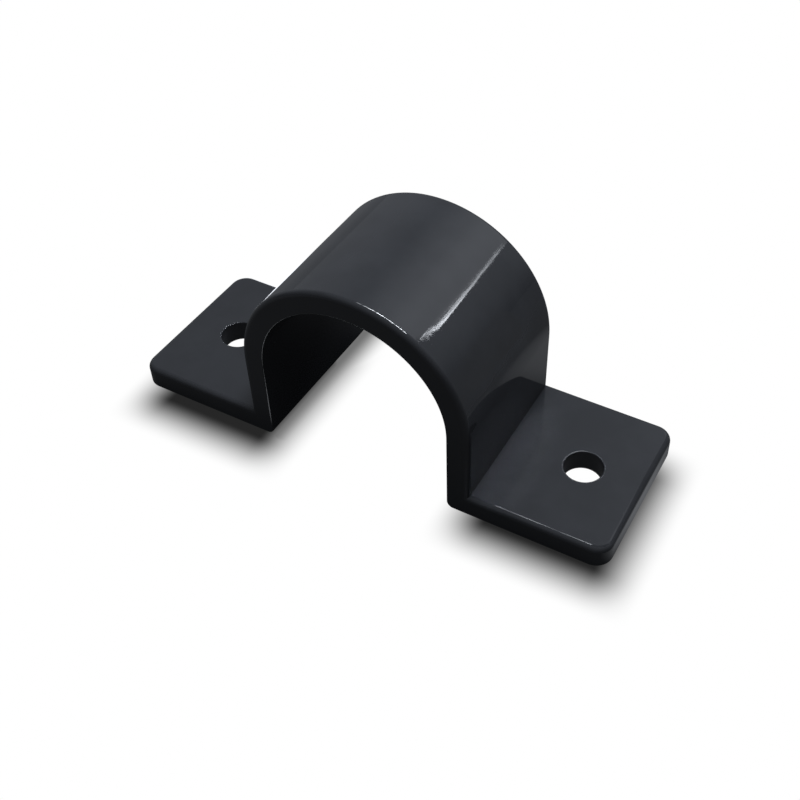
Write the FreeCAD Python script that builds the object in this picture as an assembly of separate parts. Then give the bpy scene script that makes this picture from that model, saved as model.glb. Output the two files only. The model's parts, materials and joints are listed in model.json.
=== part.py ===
import FreeCAD, Part
import math
import os

# Saddle clip: one strip of flat steel bar, bent into a half-round arch on two short legs and
# turned out into a flat foot on each side, with a round fixing hole through each foot.
# Millimetres. X runs along the clip, Y along the pipe that it holds, Z up from the surface
# that it is screwed to. The origin is the middle of the clip, on that surface.

# The pipe, and the play round it in the arch
pipe_diameter = 33.7
seat_clearance = 0.15

# How far the pipe stands proud of the feet, so that tightening the screws grips it
pipe_nip = 1.0

# The flat bar: its long edges are well rounded on top and hardly at all underneath
bar_width = 30.0
bar_thickness = 4.0
top_edge_radius = 1.0
under_edge_radius = 0.2

# The pressed bends between legs and feet: sharp on top, small and round underneath
bend_top_radius = 0.3
bend_underside_radius = 1.2

# Each foot, measured out from the outer face of its leg
foot_length = 24.0
foot_corner_radius = 3.0

# The fixing hole in each foot, measured out from the same face
hole_offset = 13.5
hole_diameter = 6.6
hole_edge_break = 0.2

# What follows from those sizes
seat_radius = pipe_diameter / 2 + seat_clearance
seat_height = pipe_diameter / 2 - pipe_nip
arch_radius = seat_radius + bar_thickness
half_length = arch_radius + foot_length
half_width = bar_width / 2
hole_position = arch_radius + hole_offset
hole_radius = hole_diameter / 2

# Two places nearer to each other than this are the same place
same_place = 0.001


def front_point(x, z):
    """A point of the profile, which is drawn on the clip's front face."""
    return FreeCAD.Vector(x, -half_width, z)


def straight(start, end):
    return Part.makeLine(front_point(*start), front_point(*end))


def bend(centre, radius, start_angle, end_angle):
    """An arc round centre, from one angle to the other in degrees, anticlockwise from +X."""
    points = []
    for angle in (start_angle, (start_angle + end_angle) / 2, end_angle):
        turn = math.radians(angle)
        points.append(front_point(centre[0] + radius * math.cos(turn), centre[1] + radius * math.sin(turn)))
    return Part.Arc(*points).toShape()


def underside():
    """The lower line of the strip, from the right foot's end, over the pipe, to the left one's."""
    bend_x = seat_radius + bend_underside_radius
    bend_z = bend_underside_radius
    return [
        straight((half_length, 0), (bend_x, 0)),
        bend((bend_x, bend_z), bend_underside_radius, 270, 180),
        straight((seat_radius, bend_z), (seat_radius, seat_height)),
        bend((0, seat_height), seat_radius, 0, 180),
        straight((-seat_radius, seat_height), (-seat_radius, bend_z)),
        bend((-bend_x, bend_z), bend_underside_radius, 0, -90),
        straight((-bend_x, 0), (-half_length, 0)),
    ]


def top_side():
    """The upper line of the strip, from the left foot's end back to the right one's."""
    bend_x = arch_radius + bend_top_radius
    bend_z = bar_thickness + bend_top_radius
    return [
        straight((-half_length, bar_thickness), (-bend_x, bar_thickness)),
        bend((-bend_x, bend_z), bend_top_radius, -90, 0),
        straight((-arch_radius, bend_z), (-arch_radius, seat_height)),
        bend((0, seat_height), arch_radius, 180, 0),
        straight((arch_radius, seat_height), (arch_radius, bend_z)),
        bend((bend_x, bend_z), bend_top_radius, 180, 270),
        straight((bend_x, bar_thickness), (half_length, bar_thickness)),
    ]


def bent_strip():
    left_end = straight((-half_length, 0), (-half_length, bar_thickness))
    right_end = straight((half_length, bar_thickness), (half_length, 0))
    profile = Part.Wire(underside() + [left_end] + top_side() + [right_end])
    return Part.Face(profile).extrude(FreeCAD.Vector(0, bar_width, 0))


def is_upright(edge):
    """Whether an edge is a straight one that runs up the thickness of a foot."""
    low = edge.Vertexes[0].Point
    high = edge.Vertexes[-1].Point
    return math.hypot(high.x - low.x, high.y - low.y) < same_place


def middle_of(edge):
    return edge.valueAt((edge.FirstParameter + edge.LastParameter) / 2)


def round_foot_corners(strip):
    """Rounds the four corners of the feet as they are seen from above."""
    corners = []
    for edge in strip.Edges:
        if is_upright(edge) and half_length - abs(middle_of(edge).x) < same_place:
            corners.append(edge)
    return strip.makeFillet(foot_corner_radius, corners)


def is_on_outline(point):
    """Whether a point lies on the clip's outline from above, a rectangle with round corners."""
    past_end = abs(point.x) - (half_length - foot_corner_radius)
    past_side = abs(point.y) - (half_width - foot_corner_radius)
    if past_end > 0 and past_side > 0:
        reach = math.hypot(past_end, past_side)
    else:
        reach = max(past_end, past_side)
    return abs(reach - foot_corner_radius) < same_place


def is_underneath(point):
    """Whether a point is on the strip's lower side, which is the arch's inside too."""
    reach = abs(point.x)
    if point.z > seat_height:
        reach = math.hypot(point.x, point.z - seat_height)
    return reach < seat_radius + bar_thickness / 2 or point.z < bar_thickness / 2


def round_bar_edges(strip, underneath, radius):
    """Rounds the edges of one side of the bar, along both its edges and round both ends."""
    rims = []
    for edge in strip.Edges:
        middle = middle_of(edge)
        if is_on_outline(middle) and not is_upright(edge) and is_underneath(middle) == underneath:
            rims.append(edge)
    return strip.makeFillet(radius, rims)


def drill_feet(strip):
    """Puts the fixing hole through each foot and breaks the sharp edge of its two rims."""
    for side in (-1, 1):
        base = FreeCAD.Vector(side * hole_position, 0, -bar_thickness)
        strip = strip.cut(Part.makeCylinder(hole_radius, 3 * bar_thickness, base))
    rims = []
    for edge in strip.Edges:
        if isinstance(edge.Curve, Part.Circle) and abs(edge.Curve.Axis.z) > 1 - same_place:
            if abs(edge.Curve.Center.y) < same_place:
                rims.append(edge)
    return strip.makeChamfer(hole_edge_break, rims)


def saddle_clip():
    strip = bent_strip()
    strip = round_foot_corners(strip)
    strip = round_bar_edges(strip, True, under_edge_radius)
    strip = round_bar_edges(strip, False, top_edge_radius)
    return drill_feet(strip)


os.makedirs("parts", exist_ok=True)
clip = saddle_clip()
clip.exportStep("parts/saddle_clip.step")
print("saddle_clip", clip.isValid(), len(clip.Solids), round(clip.Volume), clip.BoundBox)
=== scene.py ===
import bmesh
import bpy
import json
import math
from mathutils import Matrix, Vector


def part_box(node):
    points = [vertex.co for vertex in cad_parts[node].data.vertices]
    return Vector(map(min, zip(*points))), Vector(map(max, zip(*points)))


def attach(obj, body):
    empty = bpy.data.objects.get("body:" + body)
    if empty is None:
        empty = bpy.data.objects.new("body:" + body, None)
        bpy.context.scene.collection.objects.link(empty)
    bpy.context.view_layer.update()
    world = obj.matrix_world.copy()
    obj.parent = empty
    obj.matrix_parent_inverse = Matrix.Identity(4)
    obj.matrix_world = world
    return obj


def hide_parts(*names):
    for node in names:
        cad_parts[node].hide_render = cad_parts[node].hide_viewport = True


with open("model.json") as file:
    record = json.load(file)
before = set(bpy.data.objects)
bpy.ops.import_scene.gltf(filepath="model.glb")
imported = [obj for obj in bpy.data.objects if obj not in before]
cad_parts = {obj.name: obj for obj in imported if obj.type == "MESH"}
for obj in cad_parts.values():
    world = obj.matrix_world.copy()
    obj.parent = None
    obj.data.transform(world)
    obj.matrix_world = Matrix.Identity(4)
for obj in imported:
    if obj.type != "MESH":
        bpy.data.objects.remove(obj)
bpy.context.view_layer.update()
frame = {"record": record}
scene = bpy.context.scene
millimetre = 0.001

# Sizes that the frame gives: the clip's box, the pipe's seat and the holes
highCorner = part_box("saddle_clip")[1]
mounts = {mount["name"]: mount for mount in frame["record"]["mounts"]}
seat = mounts["pipe_seat"]
holes = mounts["fixing_holes"]
seatRadius = seat["dims"]["r_mm"] * millimetre
seatHeight = seat["pos_m"][2]
holeRadius = holes["dims"]["hole_r_mm"] * millimetre
holeX = holes["dims"]["spacing_x_mm"] / 2 * millimetre
halfLength = highCorner.x
halfWidth = highCorner.y
thickness = highCorner.z - seatHeight - seatRadius
archRadius = seatRadius + thickness
print("sizes read from the frame")


def selectFaces(test):
    # test gets a face's middle and its normal
    bpy.ops.mesh.select_all(action="DESELECT")
    bpy.ops.mesh.select_mode(type="FACE")
    mesh = bmesh.from_edit_mesh(bpy.context.object.data)
    for face in mesh.faces:
        if test(face.calc_center_median(), face.normal):
            face.select_set(True)
    bmesh.update_edit_mesh(bpy.context.object.data)


def selectEdges(test):
    # test gets an edge's two ends
    bpy.ops.mesh.select_all(action="DESELECT")
    bpy.ops.mesh.select_mode(type="EDGE")
    mesh = bmesh.from_edit_mesh(bpy.context.object.data)
    for edge in mesh.edges:
        if test(edge.verts[0].co, edge.verts[1].co):
            edge.select_set(True)
    bmesh.update_edit_mesh(bpy.context.object.data)


def selectSharp(test):
    # The same, but only out of the strip's sharp edges
    bpy.ops.mesh.select_all(action="DESELECT")
    bpy.ops.mesh.edges_select_sharp(sharpness=clip["sharpAngle"])
    mesh = bmesh.from_edit_mesh(bpy.context.object.data)
    for edge in mesh.edges:
        if edge.select and not test(edge.verts[0].co, edge.verts[1].co):
            edge.select_set(False)
    bmesh.update_edit_mesh(bpy.context.object.data)


def extrude(x, z):
    bpy.ops.mesh.extrude_region_move(TRANSFORM_OT_translate={"value": (x, 0, z)})


def near(a, b):
    return abs(a - b) < 0.01 * millimetre


def bevelPicked(radius, segments):
    bpy.ops.mesh.bevel(offset=radius, segments=segments, profile=0.5, affect="EDGES", clamp_overlap=False)


# The clip: one strip of bar, bent and drilled, and then coated
clip = {
    "archSteps": 160,
    "topEdge": 1.0 * millimetre,
    "topEdgeSegments": 8,
    "underEdge": 0.2 * millimetre,
    "underEdgeSegments": 3,
    "bendUnder": 1.2 * millimetre,
    "bendUnderSegments": 10,
    "footCorner": 3.0 * millimetre,
    "footCornerSegments": 14,
    "holeSides": 96,
    "holeEdge": 0.2 * millimetre,
    "holeEdgeSegments": 4,
    "sharpAngle": math.radians(60),
    "smoothAngle": math.radians(50),
}


def bendStrip():
    # The right foot, its bend and leg, then the arch, the left leg, and the left foot
    footMiddle = (archRadius + halfLength) / 2
    bpy.ops.mesh.primitive_cube_add(size=1, location=(footMiddle, 0, thickness / 2))
    strip = bpy.context.object
    strip.name = "coatedClip"
    strip.scale = (halfLength - archRadius, 2 * halfWidth, thickness)
    bpy.ops.object.transform_apply(location=True, rotation=True, scale=True)
    bpy.ops.object.mode_set(mode="EDIT")
    selectFaces(lambda middle, normal: normal.x < -0.9)
    extrude(-thickness, 0)
    selectFaces(lambda middle, normal: normal.z > 0.9 and middle.x < archRadius)
    extrude(0, seatHeight - thickness)
    bpy.ops.mesh.spin(
        steps=clip["archSteps"], angle=math.pi, center=(0, 0, seatHeight), axis=(0, 1, 0)
    )
    extrude(0, thickness - seatHeight)
    extrude(0, -thickness)
    selectFaces(lambda middle, normal: near(middle.x, -archRadius) and middle.z < thickness)
    extrude(archRadius - halfLength, 0)
    # The faces that the spin left inside the strip go
    selectFaces(lambda middle, normal: abs(normal.z) > 0.9 and near(middle.z, seatHeight))
    bpy.ops.mesh.delete(type="ONLY_FACE")
    bpy.ops.mesh.select_all(action="SELECT")
    bpy.ops.mesh.remove_doubles(threshold=0.001 * millimetre)
    bpy.ops.mesh.normals_make_consistent(inside=False)
    bpy.ops.mesh.dissolve_limited(angle_limit=math.radians(0.1))
    return strip


def isUnderneath(a, b):
    # The strip's lower side is the arch's inside too
    middle = (a + b) / 2
    reach = abs(middle.x)
    if middle.z > seatHeight:
        reach = math.hypot(middle.x, middle.z - seatHeight)
    return reach < seatRadius + thickness / 2 or middle.z < thickness / 2


def isOnTop(a, b):
    # The bends' inner corners stay sharp
    atBend = near(abs(a.x), archRadius) and near(a.x, b.x)
    alongBend = atBend and near(a.z, thickness) and near(b.z, thickness)
    return not isUnderneath(a, b) and not alongBend


def roundStrip():
    # Bends first, then the feet's corners, then the bar's edges all the way round
    selectEdges(lambda a, b: near(a.z, 0) and near(b.z, 0) and near(abs(a.x), seatRadius) and near(a.x, b.x))
    bevelPicked(clip["bendUnder"], clip["bendUnderSegments"])
    selectEdges(lambda a, b: near(abs(a.x), halfLength) and near(a.x, b.x) and near(a.y, b.y))
    bevelPicked(clip["footCorner"], clip["footCornerSegments"])
    selectSharp(isUnderneath)
    bevelPicked(clip["underEdge"], clip["underEdgeSegments"])
    selectSharp(isOnTop)
    bevelPicked(clip["topEdge"], clip["topEdgeSegments"])
    bpy.ops.object.mode_set(mode="OBJECT")


def drillFoot(strip, x):
    bpy.ops.mesh.primitive_cylinder_add(
        vertices=clip["holeSides"], radius=holeRadius, depth=3 * thickness, location=(x, 0, thickness / 2)
    )
    drill = bpy.context.object
    bpy.context.view_layer.objects.active = strip
    cut = strip.modifiers.new("hole", "BOOLEAN")
    cut.operation = "DIFFERENCE"
    cut.solver = "EXACT"
    cut.object = drill
    bpy.ops.object.modifier_apply(modifier=cut.name)
    bpy.data.objects.remove(drill)


def isHoleRim(a, b):
    if not (near(a.z, b.z) and (near(a.z, 0) or near(a.z, thickness))):
        return False
    return all(near(math.hypot(abs(end.x) - holeX, end.y), holeRadius) for end in (a, b))


def breakHoleEdges(strip):
    strip.select_set(True)
    bpy.ops.object.mode_set(mode="EDIT")
    selectEdges(isHoleRim)
    bevelPicked(clip["holeEdge"], clip["holeEdgeSegments"])
    bpy.ops.object.mode_set(mode="OBJECT")


def smoothStrip(strip):
    bpy.ops.object.select_all(action="DESELECT")
    strip.select_set(True)
    bpy.context.view_layer.objects.active = strip
    bpy.ops.object.shade_smooth_by_angle(angle=clip["smoothAngle"])
    weigh = strip.modifiers.new("evenShading", "WEIGHTED_NORMAL")
    weigh.keep_sharp = True
    bpy.ops.object.modifier_apply(modifier=weigh.name)


bpy.ops.object.select_all(action="DESELECT")
coatedClip = bendStrip()
print("strip bent")
roundStrip()
print("edges rounded")
for footX in (-holeX, holeX):
    drillFoot(coatedClip, footX)
breakHoleEdges(coatedClip)
smoothStrip(coatedClip)
print("feet drilled")


def addNode(tree, kind, **values):
    # A value with an input's name goes to that input, and any other is one of the node's own settings
    node = tree.nodes.new(kind)
    for name, value in values.items():
        if name in node.inputs:
            node.inputs[name].default_value = value
        else:
            setattr(node, name, value)
    return node


def addMath(tree, operation, *values):
    node = addNode(tree, "ShaderNodeMath", operation=operation)
    for socket, value in zip(node.inputs, values):
        if isinstance(value, (int, float)):
            socket.default_value = value
        else:
            tree.links.new(value, socket)
    return node.outputs["Value"]


def multiply(tree, product, *others):
    for other in others:
        product = addMath(tree, "MULTIPLY", product, other)
    return product


def addSquares(tree, a, b):
    return addMath(tree, "ADD", addMath(tree, "POWER", a, 2.0), addMath(tree, "POWER", b, 2.0))


def addOffset(tree, place, middle):
    # How far a place lies from the middle, to either side
    return addMath(tree, "ABSOLUTE", addMath(tree, "SUBTRACT", place, middle))


def mapRange(tree, value, low, high, toLow=0.0, toHigh=1.0, shape="LINEAR"):
    node = addNode(tree, "ShaderNodeMapRange", interpolation_type=shape)
    for name, limit in zip(("From Min", "From Max", "To Min", "To Max"), (low, high, toLow, toHigh)):
        node.inputs[name].default_value = limit
    tree.links.new(value, node.inputs["Value"])
    return node.outputs["Result"]


def softStep(tree, value, low, high, toLow=0.0):
    # From toLow at low to 1 at high, and smooth between them
    return mapRange(tree, value, low, high, toLow, shape="SMOOTHSTEP")


def fadeOut(tree, value, low, high):
    return addMath(tree, "SUBTRACT", 1.0, softStep(tree, value, low, high))


def splitAxes(tree, vector):
    split = addNode(tree, "ShaderNodeSeparateXYZ")
    tree.links.new(vector, split.inputs["Vector"])
    return split.outputs["X"], split.outputs["Y"], split.outputs["Z"]


def fromHole(tree, x, y):
    # How far a place lies from the axis of the hole on its own side
    across = addMath(tree, "SUBTRACT", addMath(tree, "ABSOLUTE", x), holeX)
    return addMath(tree, "SQRT", addSquares(tree, across, y))


def emptyMaterial(name):
    material = bpy.data.materials.new(name)
    material.use_nodes = True
    material.node_tree.nodes.clear()
    return material, material.node_tree


# The powder coat: near black, a little blue, satin to gloss, with the fine orange peel of baked powder
coat = {
    "dark": (0.0272, 0.0290, 0.0328, 1),
    "light": (0.0318, 0.0338, 0.0382, 1),
    "mottleSize": 7 * millimetre,
    "mottleRange": (0.35, 0.65),
    "roughLow": 0.03,
    "roughHigh": 0.09,
    "cloudSize": 1.2 * millimetre,
    "cloudRange": (0.45, 0.75),
    "rimRoughness": 0.35,
    "ior": 1.5,
    "waveSize": 6 * millimetre,
    "waveHeight": 0.008 * millimetre,
    "peelSize": 0.9 * millimetre,
    "peelHeight": 0.002 * millimetre,
    "grainSize": 0.22 * millimetre,
    "grainHeight": 0.0005 * millimetre,
}


def powderCoat():
    material, tree = emptyMaterial("powderCoat")
    link = tree.links.new
    place = addNode(tree, "ShaderNodeTexCoord").outputs["Object"]
    mottle = addNode(tree, "ShaderNodeTexNoise", Scale=1 / coat["mottleSize"], Detail=3.0)
    cloud = addNode(tree, "ShaderNodeTexNoise", Scale=1 / coat["cloudSize"], Detail=4.0)
    wave = addNode(tree, "ShaderNodeTexNoise", Scale=1 / coat["waveSize"], Detail=0.0)
    peel = addNode(tree, "ShaderNodeTexNoise", Scale=1 / coat["peelSize"], Detail=1.5, Roughness=0.4)
    grain = addNode(tree, "ShaderNodeTexNoise", Scale=1 / coat["grainSize"], Detail=1.0)
    for texture in (mottle, cloud, wave, peel, grain):
        link(place, texture.inputs["Vector"])
    shader = addNode(tree, "ShaderNodeBsdfPrincipled", IOR=coat["ior"])
    ramp = addNode(tree, "ShaderNodeValToRGB")
    ends = zip(ramp.color_ramp.elements, coat["mottleRange"], (coat["dark"], coat["light"]))
    for element, position, colour in ends:
        element.position = position
        element.color = colour
    link(mottle.outputs["Fac"], ramp.inputs["Fac"])
    link(ramp.outputs["Color"], shader.inputs["Base Color"])
    rough = mapRange(tree, cloud.outputs["Fac"], *coat["cloudRange"], coat["roughLow"], coat["roughHigh"])
    # Duller right at the hole rims
    x, y, _ = splitAxes(tree, place)
    rimEnd = holeRadius + clip["holeEdge"]
    rim = fadeOut(tree, fromHole(tree, x, y), rimEnd, rimEnd + clip["holeEdge"])
    link(addMath(tree, "MULTIPLY_ADD", rim, coat["rimRoughness"], rough), shader.inputs["Roughness"])
    normal = None
    for texture, height in (
        (wave, coat["waveHeight"]),
        (peel, coat["peelHeight"]),
        (grain, coat["grainHeight"]),
    ):
        bump = addNode(tree, "ShaderNodeBump", Strength=1.0, Distance=height)
        link(texture.outputs["Fac"], bump.inputs["Height"])
        if normal:
            link(normal, bump.inputs["Normal"])
        normal = bump.outputs["Normal"]
    link(normal, shader.inputs["Normal"])
    output = addNode(tree, "ShaderNodeOutputMaterial")
    link(shader.outputs["BSDF"], output.inputs["Surface"])
    return material


coatedClip.data.materials.clear()
coatedClip.data.materials.append(powderCoat())
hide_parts("saddle_clip")
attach(coatedClip, "root")
print("powder coat baked on")


# The floor: white to the eye, with a soft shadow on the near side of each foot
floor = {
    "size": 6.0,
    "drop": 0.05 * millimetre,
    "darkest": 0.02,
    "shadowRight": 2.6 * millimetre,  # how far the shadow is shifted to the right
    "shadowForward": (4.6 * millimetre, 6.0 * millimetre),  # and forward, from the right foot and the left
    "shadowSoftness": 4.6 * millimetre,
    "legShadow": 0.85,
    "legShadowEnd": -11.0 * millimetre,
}


def emissionMaterial(name):
    material, tree = emptyMaterial(name)
    glow = addNode(tree, "ShaderNodeEmission")
    output = addNode(tree, "ShaderNodeOutputMaterial")
    tree.links.new(glow.outputs["Emission"], output.inputs["Surface"])
    return material, glow


def addGround(name, drop):
    bpy.ops.mesh.primitive_plane_add(size=floor["size"], location=(0, 0, 0))
    ground = bpy.context.object
    ground.name = name
    ground.location.z = -drop
    return ground


def softFootprint(tree, x, y):
    # How deep a place on the floor lies in the feet's shadow
    soft = floor["shadowSoftness"]
    right, left = floor["shadowForward"]
    onLeft = addMath(tree, "LESS_THAN", x, 0.0)
    shadowY = addMath(tree, "MULTIPLY_ADD", onLeft, right - left, -right)
    fromMiddle = addOffset(tree, x, floor["shadowRight"])
    outer = fadeOut(tree, fromMiddle, halfLength - soft, halfLength + soft)
    inner = softStep(tree, fromMiddle, seatRadius - soft, seatRadius + soft)
    sides = fadeOut(tree, addOffset(tree, y, shadowY), halfWidth - soft, halfWidth + soft)
    depth = multiply(tree, outer, inner, sides)
    # The arch keeps some light off the floor inside the left leg too
    legEnd = fadeOut(tree, x, -seatRadius, floor["legShadowEnd"])
    legStart = addMath(tree, "GREATER_THAN", x, -archRadius)
    legSides = fadeOut(tree, addMath(tree, "ABSOLUTE", y), halfWidth, halfWidth + soft)
    besideLeg = multiply(tree, legEnd, legStart, legSides, floor["legShadow"])
    depth = addMath(tree, "MAXIMUM", depth, besideLeg)
    # No shadow is seen through the holes
    return multiply(tree, depth, addMath(tree, "GREATER_THAN", fromHole(tree, x, y), holeRadius))


def addFloor():
    ground = addGround("floor", floor["drop"])
    material, glow = emissionMaterial("whiteFloor")
    tree = material.node_tree
    x, y, _ = splitAxes(tree, addNode(tree, "ShaderNodeTexCoord").outputs["Object"])
    light = addMath(tree, "MULTIPLY_ADD", softFootprint(tree, x, y), floor["darkest"] - 1.0, 1.0)
    tree.links.new(light, glow.inputs["Strength"])
    ground.data.materials.append(material)
    ground.visible_glossy = False
    ground.visible_diffuse = False
    ground.visible_shadow = False


# The floor that shows in the clip's gloss is darker, with a few lighter patches
mirroredFloor = {
    "colour": (0.95, 0.99, 1.06, 1),
    "frontLevel": 0.085,
    "backLevel": 0.12,
    "backY": 3 * halfWidth,
    "shadeReach": 50 * millimetre,
    "leftLevel": 0.035,
    "leftRange": (-0.12, -0.04),
    # Each patch is an oval: middle x and y, half width and half depth, all in millimetres, and level
    "patches": (
        (-40.0, 22.0, 16.0, 16.0, 2.00),  # behind the left foot
        (-9.0, -20.5, 11.5, 5.0, 1.80),  # in front of the arch
        (48.0, 2.0, 5.0, 22.0, 0.28),  # past the right end
        (31.0, 26.0, 16.0, 13.0, 0.11),  # behind the right foot
        (holeX / millimetre, 0.0, 6.0, 6.0, 0.08),  # and one under each hole
        (-holeX / millimetre, 0.0, 6.0, 6.0, 0.08),
    ),
}


def patchShare(tree, place, middle, half):
    # 0 in a patch's middle, and 1 or -1 at its ends
    return addMath(tree, "DIVIDE", addMath(tree, "SUBTRACT", place, middle), half)


def addMirroredFloor():
    ground = addGround("mirroredFloor", 2 * floor["drop"])
    material, glow = emissionMaterial("mirroredFloor")
    tree = material.node_tree
    x, y, _ = splitAxes(tree, addNode(tree, "ShaderNodeTexCoord").outputs["Object"])
    levels = mirroredFloor["frontLevel"], mirroredFloor["backLevel"]
    light = mapRange(tree, y, -halfWidth, mirroredFloor["backY"], *levels)
    shade = addNode(tree, "ShaderNodeAmbientOcclusion", Distance=mirroredFloor["shadeReach"])
    light = multiply(tree, light, addMath(tree, "POWER", shade.outputs["AO"], 2.0))
    farLeft = fadeOut(tree, x, *mirroredFloor["leftRange"])
    light = addMath(tree, "MULTIPLY_ADD", farLeft, mirroredFloor["leftLevel"], light)
    for *oval, level in mirroredFloor["patches"]:
        middleX, middleY, halfX, halfY = (length * millimetre for length in oval)
        reach = addSquares(tree, patchShare(tree, x, middleX, halfX), patchShare(tree, y, middleY, halfY))
        light = addMath(tree, "MULTIPLY_ADD", fadeOut(tree, reach, 0.0, 1.0), level, light)
    tree.links.new(light, glow.inputs["Strength"])
    glow.inputs["Color"].default_value = mirroredFloor["colour"]
    ground.data.materials.append(material)
    ground.visible_camera = False
    ground.visible_diffuse = False
    ground.visible_shadow = False


addFloor()
addMirroredFloor()
print("floor laid")


def direction(azimuth, elevation):
    # Azimuth from +Y towards +X
    a, e = math.radians(azimuth), math.radians(elevation)
    return Vector((math.sin(a) * math.cos(e), math.cos(a) * math.cos(e), math.sin(e)))


def alongWay(tree, way, axis):
    # How far each direction goes along an axis
    reach = addNode(tree, "ShaderNodeVectorMath", operation="DOT_PRODUCT")
    tree.links.new(way, reach.inputs[0])
    reach.inputs[1].default_value = axis
    return reach.outputs["Value"]


def addGrain(tree, way, scale, detail):
    grain = addNode(tree, "ShaderNodeTexNoise", Scale=scale, Detail=detail, Roughness=0.6)
    tree.links.new(way, grain.inputs["Vector"])
    return grain.outputs["Fac"]


# Soft round lights, brightest in the middle: azimuth, elevation, spread and level
glows = {
    "inLamp": (33.0, 38.0, 24.0, 0.26),
    "upper": (33.0, 40.0, 46.0, 0.52),
    "pastLamp": 0.30,  # share of the upper glow that is left past the corner lamp's edges
    "left": (-49.0, 6.0, 55.0, 0.16),
}


def addGlow(tree, way, azimuth, elevation, spread, level):
    aim = alongWay(tree, way, direction(azimuth, elevation))
    return multiply(tree, softStep(tree, aim, math.cos(math.radians(spread)), 1.0), level)


def softGlows(tree, way, inLamp):
    light = multiply(tree, addGlow(tree, way, *glows["inLamp"]), inLamp)
    share = addMath(tree, "MULTIPLY_ADD", inLamp, 1 - glows["pastLamp"], glows["pastLamp"])
    light = addMath(tree, "MULTIPLY_ADD", addGlow(tree, way, *glows["upper"]), share, light)
    return addMath(tree, "ADD", light, addGlow(tree, way, *glows["left"]))


# The corner lamp, up behind on the right: a bright streak along its lower edge, strongest at the corner,
# a bright hook up its right edge, and haze above the streak
cornerLamp = {
    "corner": (40.3, 31.0),
    "streakEnd": (33.4, 29.3),
    "hookEnd": (37.6, 36.2),
    "lowSoftness": 0.003,
    "sideSoftness": 0.002,
    "endSoftness": 0.006,
    "streakDepth": 0.16,
    "streakGrain": 0.32,
    "streakSoftness": 0.004,
    "hookWidth": 0.006,
    "farLevel": 4.5,
    "nearLevel": 22.0,
    "ragged": 170.0,
    "breaks": 60.0,
    "breakRange": (0.50, 0.56),
    "fewerBreaksNear": 0.25,
    "hazeDepth": 0.12,
    "hazeGrain": (1.2, 0.4),
    "hazeLevel": 2.0,
}


def pastEdge(tree, distance, softness):
    return softStep(tree, distance, -softness, softness)


def lightCorner(tree, way):
    lamp = cornerLamp
    corner, streakEnd, hookEnd = (direction(*lamp[name]) for name in ("corner", "streakEnd", "hookEnd"))
    streakWay, hookWay = (corner - streakEnd).normalized(), (hookEnd - corner).normalized()
    above = alongWay(tree, way, corner.cross(streakEnd).normalized())
    inside = alongWay(tree, way, hookEnd.cross(corner).normalized())
    inLamp = multiply(
        tree, pastEdge(tree, above, lamp["lowSoftness"]), pastEdge(tree, inside, lamp["sideSoftness"])
    )
    # 1 at the corner and 0 at the streak's far end
    ends = streakEnd.dot(streakWay), corner.dot(streakWay)
    nearness = mapRange(tree, alongWay(tree, way, streakWay), *ends)
    # The middle of the lamp is taken off, which leaves its two edges, and the streak's inner side is ragged
    grain = addGrain(tree, way, lamp["ragged"], 2.0)
    shallow = addMath(tree, "SUBTRACT", lamp["streakGrain"], grain)
    pastStreak = addMath(tree, "MULTIPLY_ADD", shallow, lamp["streakDepth"], above)
    pastHook = addMath(tree, "SUBTRACT", inside, lamp["hookWidth"])
    middle = multiply(
        tree,
        pastEdge(tree, pastStreak, lamp["streakSoftness"]),
        pastEdge(tree, pastHook, lamp["sideSoftness"]),
    )
    edge = addMath(tree, "MAXIMUM", addMath(tree, "SUBTRACT", inLamp, middle), 0.0)
    for axis, end in ((-streakWay, streakEnd), (hookWay, hookEnd)):
        limit = end.dot(axis)
        soft = lamp["endSoftness"]
        edge = multiply(tree, edge, fadeOut(tree, alongWay(tree, way, axis), limit - soft, limit + soft))
    # The streak brightens steeply towards the corner, and its far part is broken up
    steep = addMath(tree, "POWER", nearness, 4.0)
    level = mapRange(tree, steep, 0.0, 1.0, lamp["farLevel"], lamp["nearLevel"])
    breaks = addGrain(tree, way, lamp["breaks"], 1.0)
    kept = addMath(tree, "MULTIPLY_ADD", nearness, lamp["fewerBreaksNear"], breaks)
    edge = multiply(tree, edge, multiply(tree, level, softStep(tree, kept, *lamp["breakRange"])))
    haze = multiply(
        tree, inLamp, fadeOut(tree, above, 0.0, lamp["hazeDepth"]), addMath(tree, "POWER", nearness, 2.0)
    )
    haze = multiply(tree, haze, addMath(tree, "MULTIPLY_ADD", grain, *lamp["hazeGrain"]))
    rest = addMath(tree, "MULTIPLY_ADD", haze, lamp["hazeLevel"], softGlows(tree, way, inLamp))
    return addMath(tree, "ADD", edge, rest)


# The bar lamp: long, above and a little behind, from left to right, and uneven along its length.
# Places on it are leans to the right and to the back, as shares of the height
barLamp = {
    "middle": (0.107, 0.36),
    "halfSize": (0.43, 0.085),
    "softness": 0.01,
    "heights": (0.6, 0.7),  # lower down it fades away
    "level": 48.0,
    "start": (-0.22, -0.06),  # its left end is dimmer
    "startLevel": 0.20,
    "ragged": 18.0,
    "dashes": (0.44, 0.54),
    "gapLevel": 0.15,
}


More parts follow.
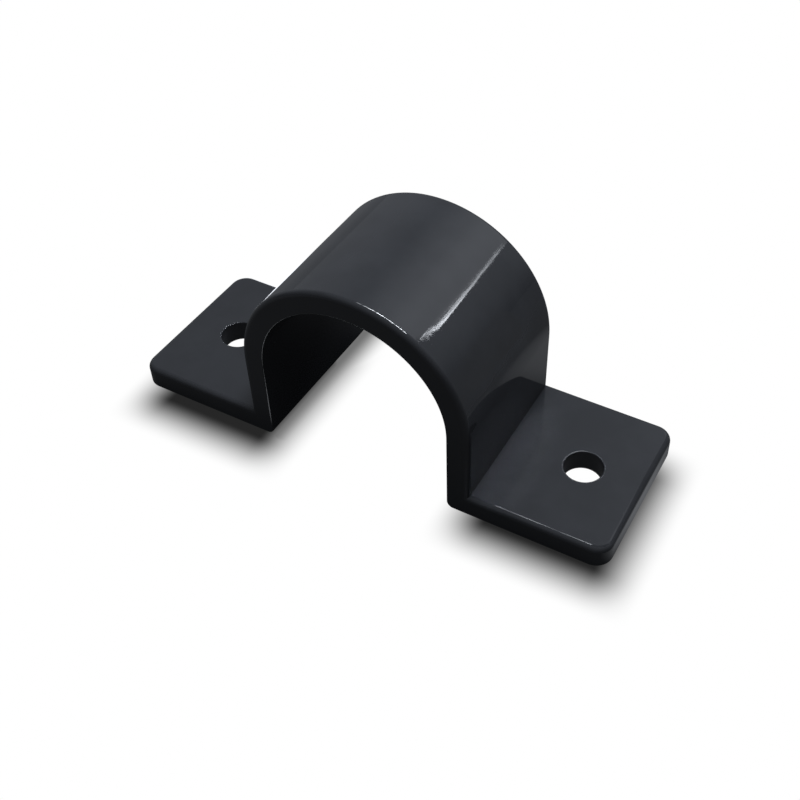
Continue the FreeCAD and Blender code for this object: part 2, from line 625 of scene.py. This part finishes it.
def lightBar(tree, x, y, z):
    bar = barLamp
    toRight = addMath(tree, "DIVIDE", x, z)
    toBack = addMath(tree, "DIVIDE", y, z)
    level = softStep(tree, z, *bar["heights"])
    for lean, middle, half in zip((toRight, toBack), bar["middle"], bar["halfSize"]):
        off = addOffset(tree, lean, middle)
        level = multiply(tree, level, fadeOut(tree, off, half - bar["softness"], half + bar["softness"]))
    level = multiply(tree, level, softStep(tree, toRight, *bar["start"], bar["startLevel"]))
    grain = addNode(
        tree, "ShaderNodeTexNoise", noise_dimensions="1D", Scale=bar["ragged"], Detail=5.0, Roughness=0.7
    )
    tree.links.new(toRight, grain.inputs["W"])
    dashes = softStep(tree, grain.outputs["Fac"], *bar["dashes"], bar["gapLevel"])
    return multiply(tree, level, dashes, bar["level"])


# The dome: dim, and brighter overhead. A height is -1 straight down and 1 straight up
dome = {
    "colour": (0.95, 0.99, 1.06, 1),
    "heights": (-0.58, -0.36, -0.09, 0.17, 0.42, 0.62, 0.77, 1.0),
    "levels": (0.03, 0.03, 0.05, 0.08, 0.13, 0.15, 0.20, 0.26),
    "lampBounces": 2.5,
}


def addDome():
    world = bpy.data.worlds.new("studioDome")
    scene.world = world
    world.use_nodes = True
    tree = world.node_tree
    tree.nodes.clear()
    link = tree.links.new
    way = addNode(tree, "ShaderNodeTexCoord").outputs["Generated"]
    x, y, z = splitAxes(tree, way)
    curve = addNode(tree, "ShaderNodeFloatCurve")
    points = curve.mapping.curves[0].points
    pairs = list(zip(dome["heights"], dome["levels"]))
    while len(points) < len(pairs):
        points.new(0.5, 0.5)
    for point, (height, level) in zip(points, pairs):
        point.location = ((height + 1) / 2, level)
        point.handle_type = "VECTOR"
    curve.mapping.update()
    link(addMath(tree, "MULTIPLY_ADD", z, 0.5, 0.5), curve.inputs["Value"])
    # The lamps show in the gloss only, and only at first sight
    seen = addNode(tree, "ShaderNodeLightPath")
    firstSight = addMath(tree, "LESS_THAN", seen.outputs["Ray Depth"], dome["lampBounces"])
    inGloss = multiply(tree, seen.outputs["Is Glossy Ray"], firstSight)
    lamps = addMath(tree, "ADD", lightCorner(tree, way), lightBar(tree, x, y, z))
    level = addMath(tree, "MULTIPLY_ADD", lamps, inGloss, curve.outputs["Value"])
    glow = addNode(tree, "ShaderNodeBackground", Color=dome["colour"])
    link(level, glow.inputs["Strength"])
    white = addNode(tree, "ShaderNodeBackground", Color=(1, 1, 1, 1), Strength=1.0)
    choose = addNode(tree, "ShaderNodeMixShader")
    link(seen.outputs["Is Camera Ray"], choose.inputs["Fac"])
    link(glow.outputs["Background"], choose.inputs[1])
    link(white.outputs["Background"], choose.inputs[2])
    output = addNode(tree, "ShaderNodeOutputWorld")
    link(choose.outputs["Shader"], output.inputs["Surface"])


# The key light, above and a little behind, and a narrow one straight down on the foot beside the right bend
keyLight = {
    "centre": (0.012, 0.10, 0.27),
    "size": (0.09, 0.24),
    "radiance": 10.9,
}
bendLight = {
    "centre": (0.0235, -0.004, 0.120),
    "size": (0.003, 0.024),
    "radiance": 1.2,
    "spread": 6.0,
}


def addSoftbox(name, light):
    # It shines straight down until it is turned, and doesn't show in the gloss
    width, height = light["size"]
    lamp = bpy.data.lights.new(name, "AREA")
    lamp.shape = "RECTANGLE"
    lamp.size = width
    lamp.size_y = height
    lamp.energy = light["radiance"] * math.pi * width * height
    lamp.color = dome["colour"][:3]
    softbox = bpy.data.objects.new(name, lamp)
    scene.collection.objects.link(softbox)
    softbox.location = light["centre"]
    softbox.visible_glossy = False
    return softbox


def faceClip(softbox):
    # Its width stays level, from left to right
    away = softbox.location.normalized()
    up = away.cross(Vector((1, 0, 0))).normalized()
    softbox.rotation_euler = Matrix((up.cross(away), up, away)).transposed().to_euler()


# Two small cards, each keeping a lamp off one edge of the right foot
flags = (
    {"centre": (0.0475, -0.0068, 0.024), "size": (0.019, 0.0085), "facing": (0, 0, 1), "level": 0.05},
    {"centre": (0.062, 0.020, 0.019), "size": (0.040, 0.032), "facing": (0.55, 0.66, 0.515), "level": 0.11},
)


def addFlag(card):
    bpy.ops.mesh.primitive_plane_add(size=1, location=card["centre"])
    flag = bpy.context.object
    flag.name = "flag"
    flag.scale = (*card["size"], 1)
    flag.rotation_euler = Vector(card["facing"]).to_track_quat("Z", "Y").to_euler()
    material, glow = emissionMaterial("flag")
    glow.inputs["Strength"].default_value = card["level"]
    flag.data.materials.append(material)
    flag.visible_camera = False
    flag.visible_diffuse = False
    flag.visible_shadow = False


addDome()
faceClip(addSoftbox("keyLight", keyLight))
addSoftbox("bendLight", bendLight).data.spread = math.radians(bendLight["spread"])
for card in flags:
    addFlag(card)
scene.view_settings.view_transform = "Standard"
print("lights set")


# The camera stands where the photograph was taken from
camera = {
    "place": (0.074395, -0.11831, 0.142868),
    "turn": (45.955, -0.419, 27.699),
    "lens": 50.83,
    "shift": (-0.0875, -0.025),
}
lens = bpy.data.cameras.new("camera")
lens.lens = camera["lens"]
lens.sensor_width = 36
lens.shift_x, lens.shift_y = camera["shift"]
lens.clip_start = 0.01
stand = bpy.data.objects.new("camera", lens)
stand.location = camera["place"]
stand.rotation_euler = [math.radians(angle) for angle in camera["turn"]]
scene.collection.objects.link(stand)
scene.camera = stand
print("camera placed")
